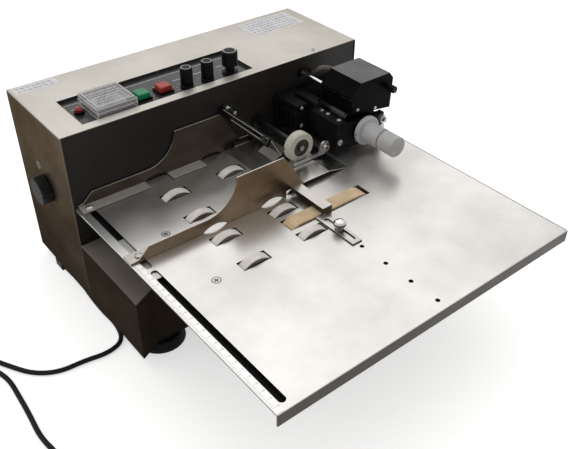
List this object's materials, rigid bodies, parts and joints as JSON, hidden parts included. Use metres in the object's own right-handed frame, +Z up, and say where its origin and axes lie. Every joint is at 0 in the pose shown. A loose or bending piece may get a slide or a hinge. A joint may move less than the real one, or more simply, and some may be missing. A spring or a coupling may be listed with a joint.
{
  "type": "date coding machine",
  "caption": "Desktop coder: sheets stacked between guides on a steel table are fed by wheels under a press roller into a hinged ink print head beside a cabinet.",
  "frame": {"origin": "bottom centre of the machine without its cord, on the surface that its feet stand on", "axes": "+X to the operator's right, the way the sheets run; +Y to the cabinet's rear; +Z up"},
  "size_m": [0.6425, 0.505, 0.26],
  "materials": {
    "stainless": "brushed stainless sheet",
    "dark_panel": "dark grey satin paint",
    "black_cast": "black satin paint",
    "black_plastic": "black, fine grain",
    "chrome": "polished plating",
    "steel": "turned steel",
    "white_rubber": "white rubber, matt",
    "black_rubber": "black rubber, matt",
    "white_plastic": "white nylon",
    "clear_plastic": "clear plastic, slightly milky",
    "pale_plastic": "pale face with a dark lower band",
    "green_plastic": "green push cap",
    "red_plastic": "red push cap or lens",
    "tan_belt": "tan rubber belt",
    "tin": "plain metal scale",
    "board": "green circuit board"
  },
  "bodies": {
    "machine": {"cabinet_cover": "stainless", "front_plate": "dark_panel", "rear_cover": "stainless", "bottom_plate": "stainless", "control_panel": "dark_panel", "base_box": "stainless", "rubber_feet": "black_rubber", "table_plate": "stainless", "ruler_strip": "tin", "machine_screws": "chrome", "table_supports": "stainless", "platen": "stainless", "shaft_bearings": "steel", "transport_belt": "tan_belt", "gate_bar": "chrome", "head_frame": "black_cast", "hinge_rod": "chrome", "press_strip": "chrome", "heater_lead": "black_rubber", "drive_motor": "black_cast", "drive_belt": "black_rubber", "control_board": "board", "temp_controller": "pale_plastic", "panel_switches": "black_plastic", "power_lamp": "red_plastic", "cord_elbow": "black_rubber", "power_cord": "black_rubber", "cord_coil": "black_rubber", "mains_plug": "black_rubber", "rear_guide": "stainless"},
    "feed_left": {"feed_shaft_left": "steel", "feed_wheels_left": "white_rubber"},
    "feed_right": {"feed_shaft_right": "steel", "feed_wheels_right": "white_rubber"},
    "delivery": {"delivery_shaft": "steel", "delivery_roller": "white_rubber"},
    "motor_drive": {"motor_pulley": "steel"},
    "guide": {"front_guide": "stainless", "guide_arm": "stainless", "guide_slider": "steel"},
    "clamp_screw": {"thumb_screw": "chrome"},
    "gate": {"gate_blade": "stainless", "gate_clamp": "chrome"},
    "press": {"press_shaft": "steel", "press_roller": "white_rubber"},
    "print": {"print_shaft": "steel", "type_drum": "steel", "hand_knob": "white_plastic"},
    "impression": {"impression_roller": "steel"},
    "ink_head": {"ink_cover": "black_plastic", "cover_knob": "black_plastic", "ink_carrier": "steel"},
    "ink": {"ink_roller": "black_rubber"},
    "lid": {"controller_cover": "clear_plastic"},
    "green": {"green_button": "green_plastic"},
    "red": {"red_button": "red_plastic"},
    "speed": {"speed_knob": "black_plastic"},
    "heat": {"heat_knob": "black_plastic"},
    "count": {"count_knob": "black_plastic"},
    "side": {"side_knob": "black_plastic"}
  },
  "joints": [
    {"name": "impression_spin", "type": "hinge", "parent": "machine", "child": "impression", "pos_m": [0.141, 0.0625, 0.1243], "axis": [0, 1, 0], "continuous": true},
    {"name": "feed_left_spin", "type": "hinge", "parent": "machine", "child": "feed_left", "pos_m": [-0.098, 0.0625, 0.1243], "axis": [0, 1, 0], "continuous": true},
    {"name": "feed_right_spin", "type": "hinge", "parent": "machine", "child": "feed_right", "pos_m": [-0.0206, 0.0625, 0.1243], "axis": [0, 1, 0], "continuous": true},
    {"name": "delivery_spin", "type": "hinge", "parent": "machine", "child": "delivery", "pos_m": [0.063, 0.0625, 0.1243], "axis": [0, 1, 0], "continuous": true},
    {"name": "motor_spin", "type": "hinge", "parent": "machine", "child": "motor_drive", "pos_m": [-0.017, 0.1275, 0.06], "axis": [0, 1, 0], "continuous": true},
    {"name": "press_spin", "type": "hinge", "parent": "machine", "child": "press", "pos_m": [0.0545, 0.0625, 0.1688], "axis": [0, 1, 0], "continuous": true},
    {"name": "print_spin", "type": "hinge", "parent": "machine", "child": "print", "pos_m": [0.141, 0.0625, 0.1723], "axis": [0, 1, 0], "continuous": true},
    {"name": "ink_head_tilt", "type": "hinge", "parent": "machine", "child": "ink_head", "pos_m": [0.1255, 0.0625, 0.2135], "axis": [0, -1, 0], "range_deg": [0, 70]},
    {"name": "ink_spin", "type": "hinge", "parent": "ink_head", "child": "ink", "pos_m": [0.14749, 0.0625, 0.20913], "axis": [0, 1, 0], "continuous": true},
    {"name": "guide_slide", "type": "slide", "parent": "machine", "child": "guide", "axis": [0, -1, 0], "range_m": [0, 0.015]},
    {"name": "clamp_screw_turn", "type": "hinge", "parent": "machine", "child": "clamp_screw", "pos_m": [0.0045, -0.099, 0.144], "axis": [0, 0, 1], "range_deg": [-180, 180]},
    {"name": "gate_slide", "type": "slide", "parent": "machine", "child": "gate", "axis": [0, 1, 0], "range_m": [0, 0.02]},
    {"name": "lid_hinge", "type": "hinge", "parent": "machine", "child": "lid", "pos_m": [-0.1255, 0.1778, 0.2362], "axis": [-1, 0, 0], "range_deg": [0, 90]},
    {"name": "green_press", "type": "slide", "parent": "machine", "child": "green", "axis": [0, 0, -1], "range_m": [0, 0.0025], "stiffness_N_per_m": 500, "springref_m": -0.001},
    {"name": "red_press", "type": "slide", "parent": "machine", "child": "red", "axis": [0, 0, -1], "range_m": [0, 0.0025], "stiffness_N_per_m": 500, "springref_m": -0.001},
    {"name": "speed_turn", "type": "hinge", "parent": "machine", "child": "speed", "pos_m": [-0.0295, 0.1375, 0.231], "axis": [0, 0, 1], "range_deg": [-150, 150]},
    {"name": "heat_turn", "type": "hinge", "parent": "machine", "child": "heat", "pos_m": [-0.0005, 0.1375, 0.231], "axis": [0, 0, 1], "range_deg": [-150, 150]},
    {"name": "count_turn", "type": "hinge", "parent": "machine", "child": "count", "pos_m": [0.0325, 0.1375, 0.231], "axis": [0, 0, 1], "range_deg": [-150, 150]},
    {"name": "side_turn", "type": "hinge", "parent": "machine", "child": "side", "pos_m": [-0.203, 0.1805, 0.137], "axis": [1, 0, 0], "range_deg": [-150, 150]}
  ],
  "couplings": [
    {"joint": "feed_left_spin", "follows": "impression_spin", "ratio": 1},
    {"joint": "feed_right_spin", "follows": "impression_spin", "ratio": 1},
    {"joint": "delivery_spin", "follows": "impression_spin", "ratio": 1},
    {"joint": "motor_spin", "follows": "impression_spin", "ratio": 1},
    {"joint": "print_spin", "follows": "impression_spin", "ratio": -1},
    {"joint": "press_spin", "follows": "impression_spin", "ratio": -1.4194},
    {"joint": "ink_spin", "follows": "impression_spin", "ratio": 1.5586}
  ]
}
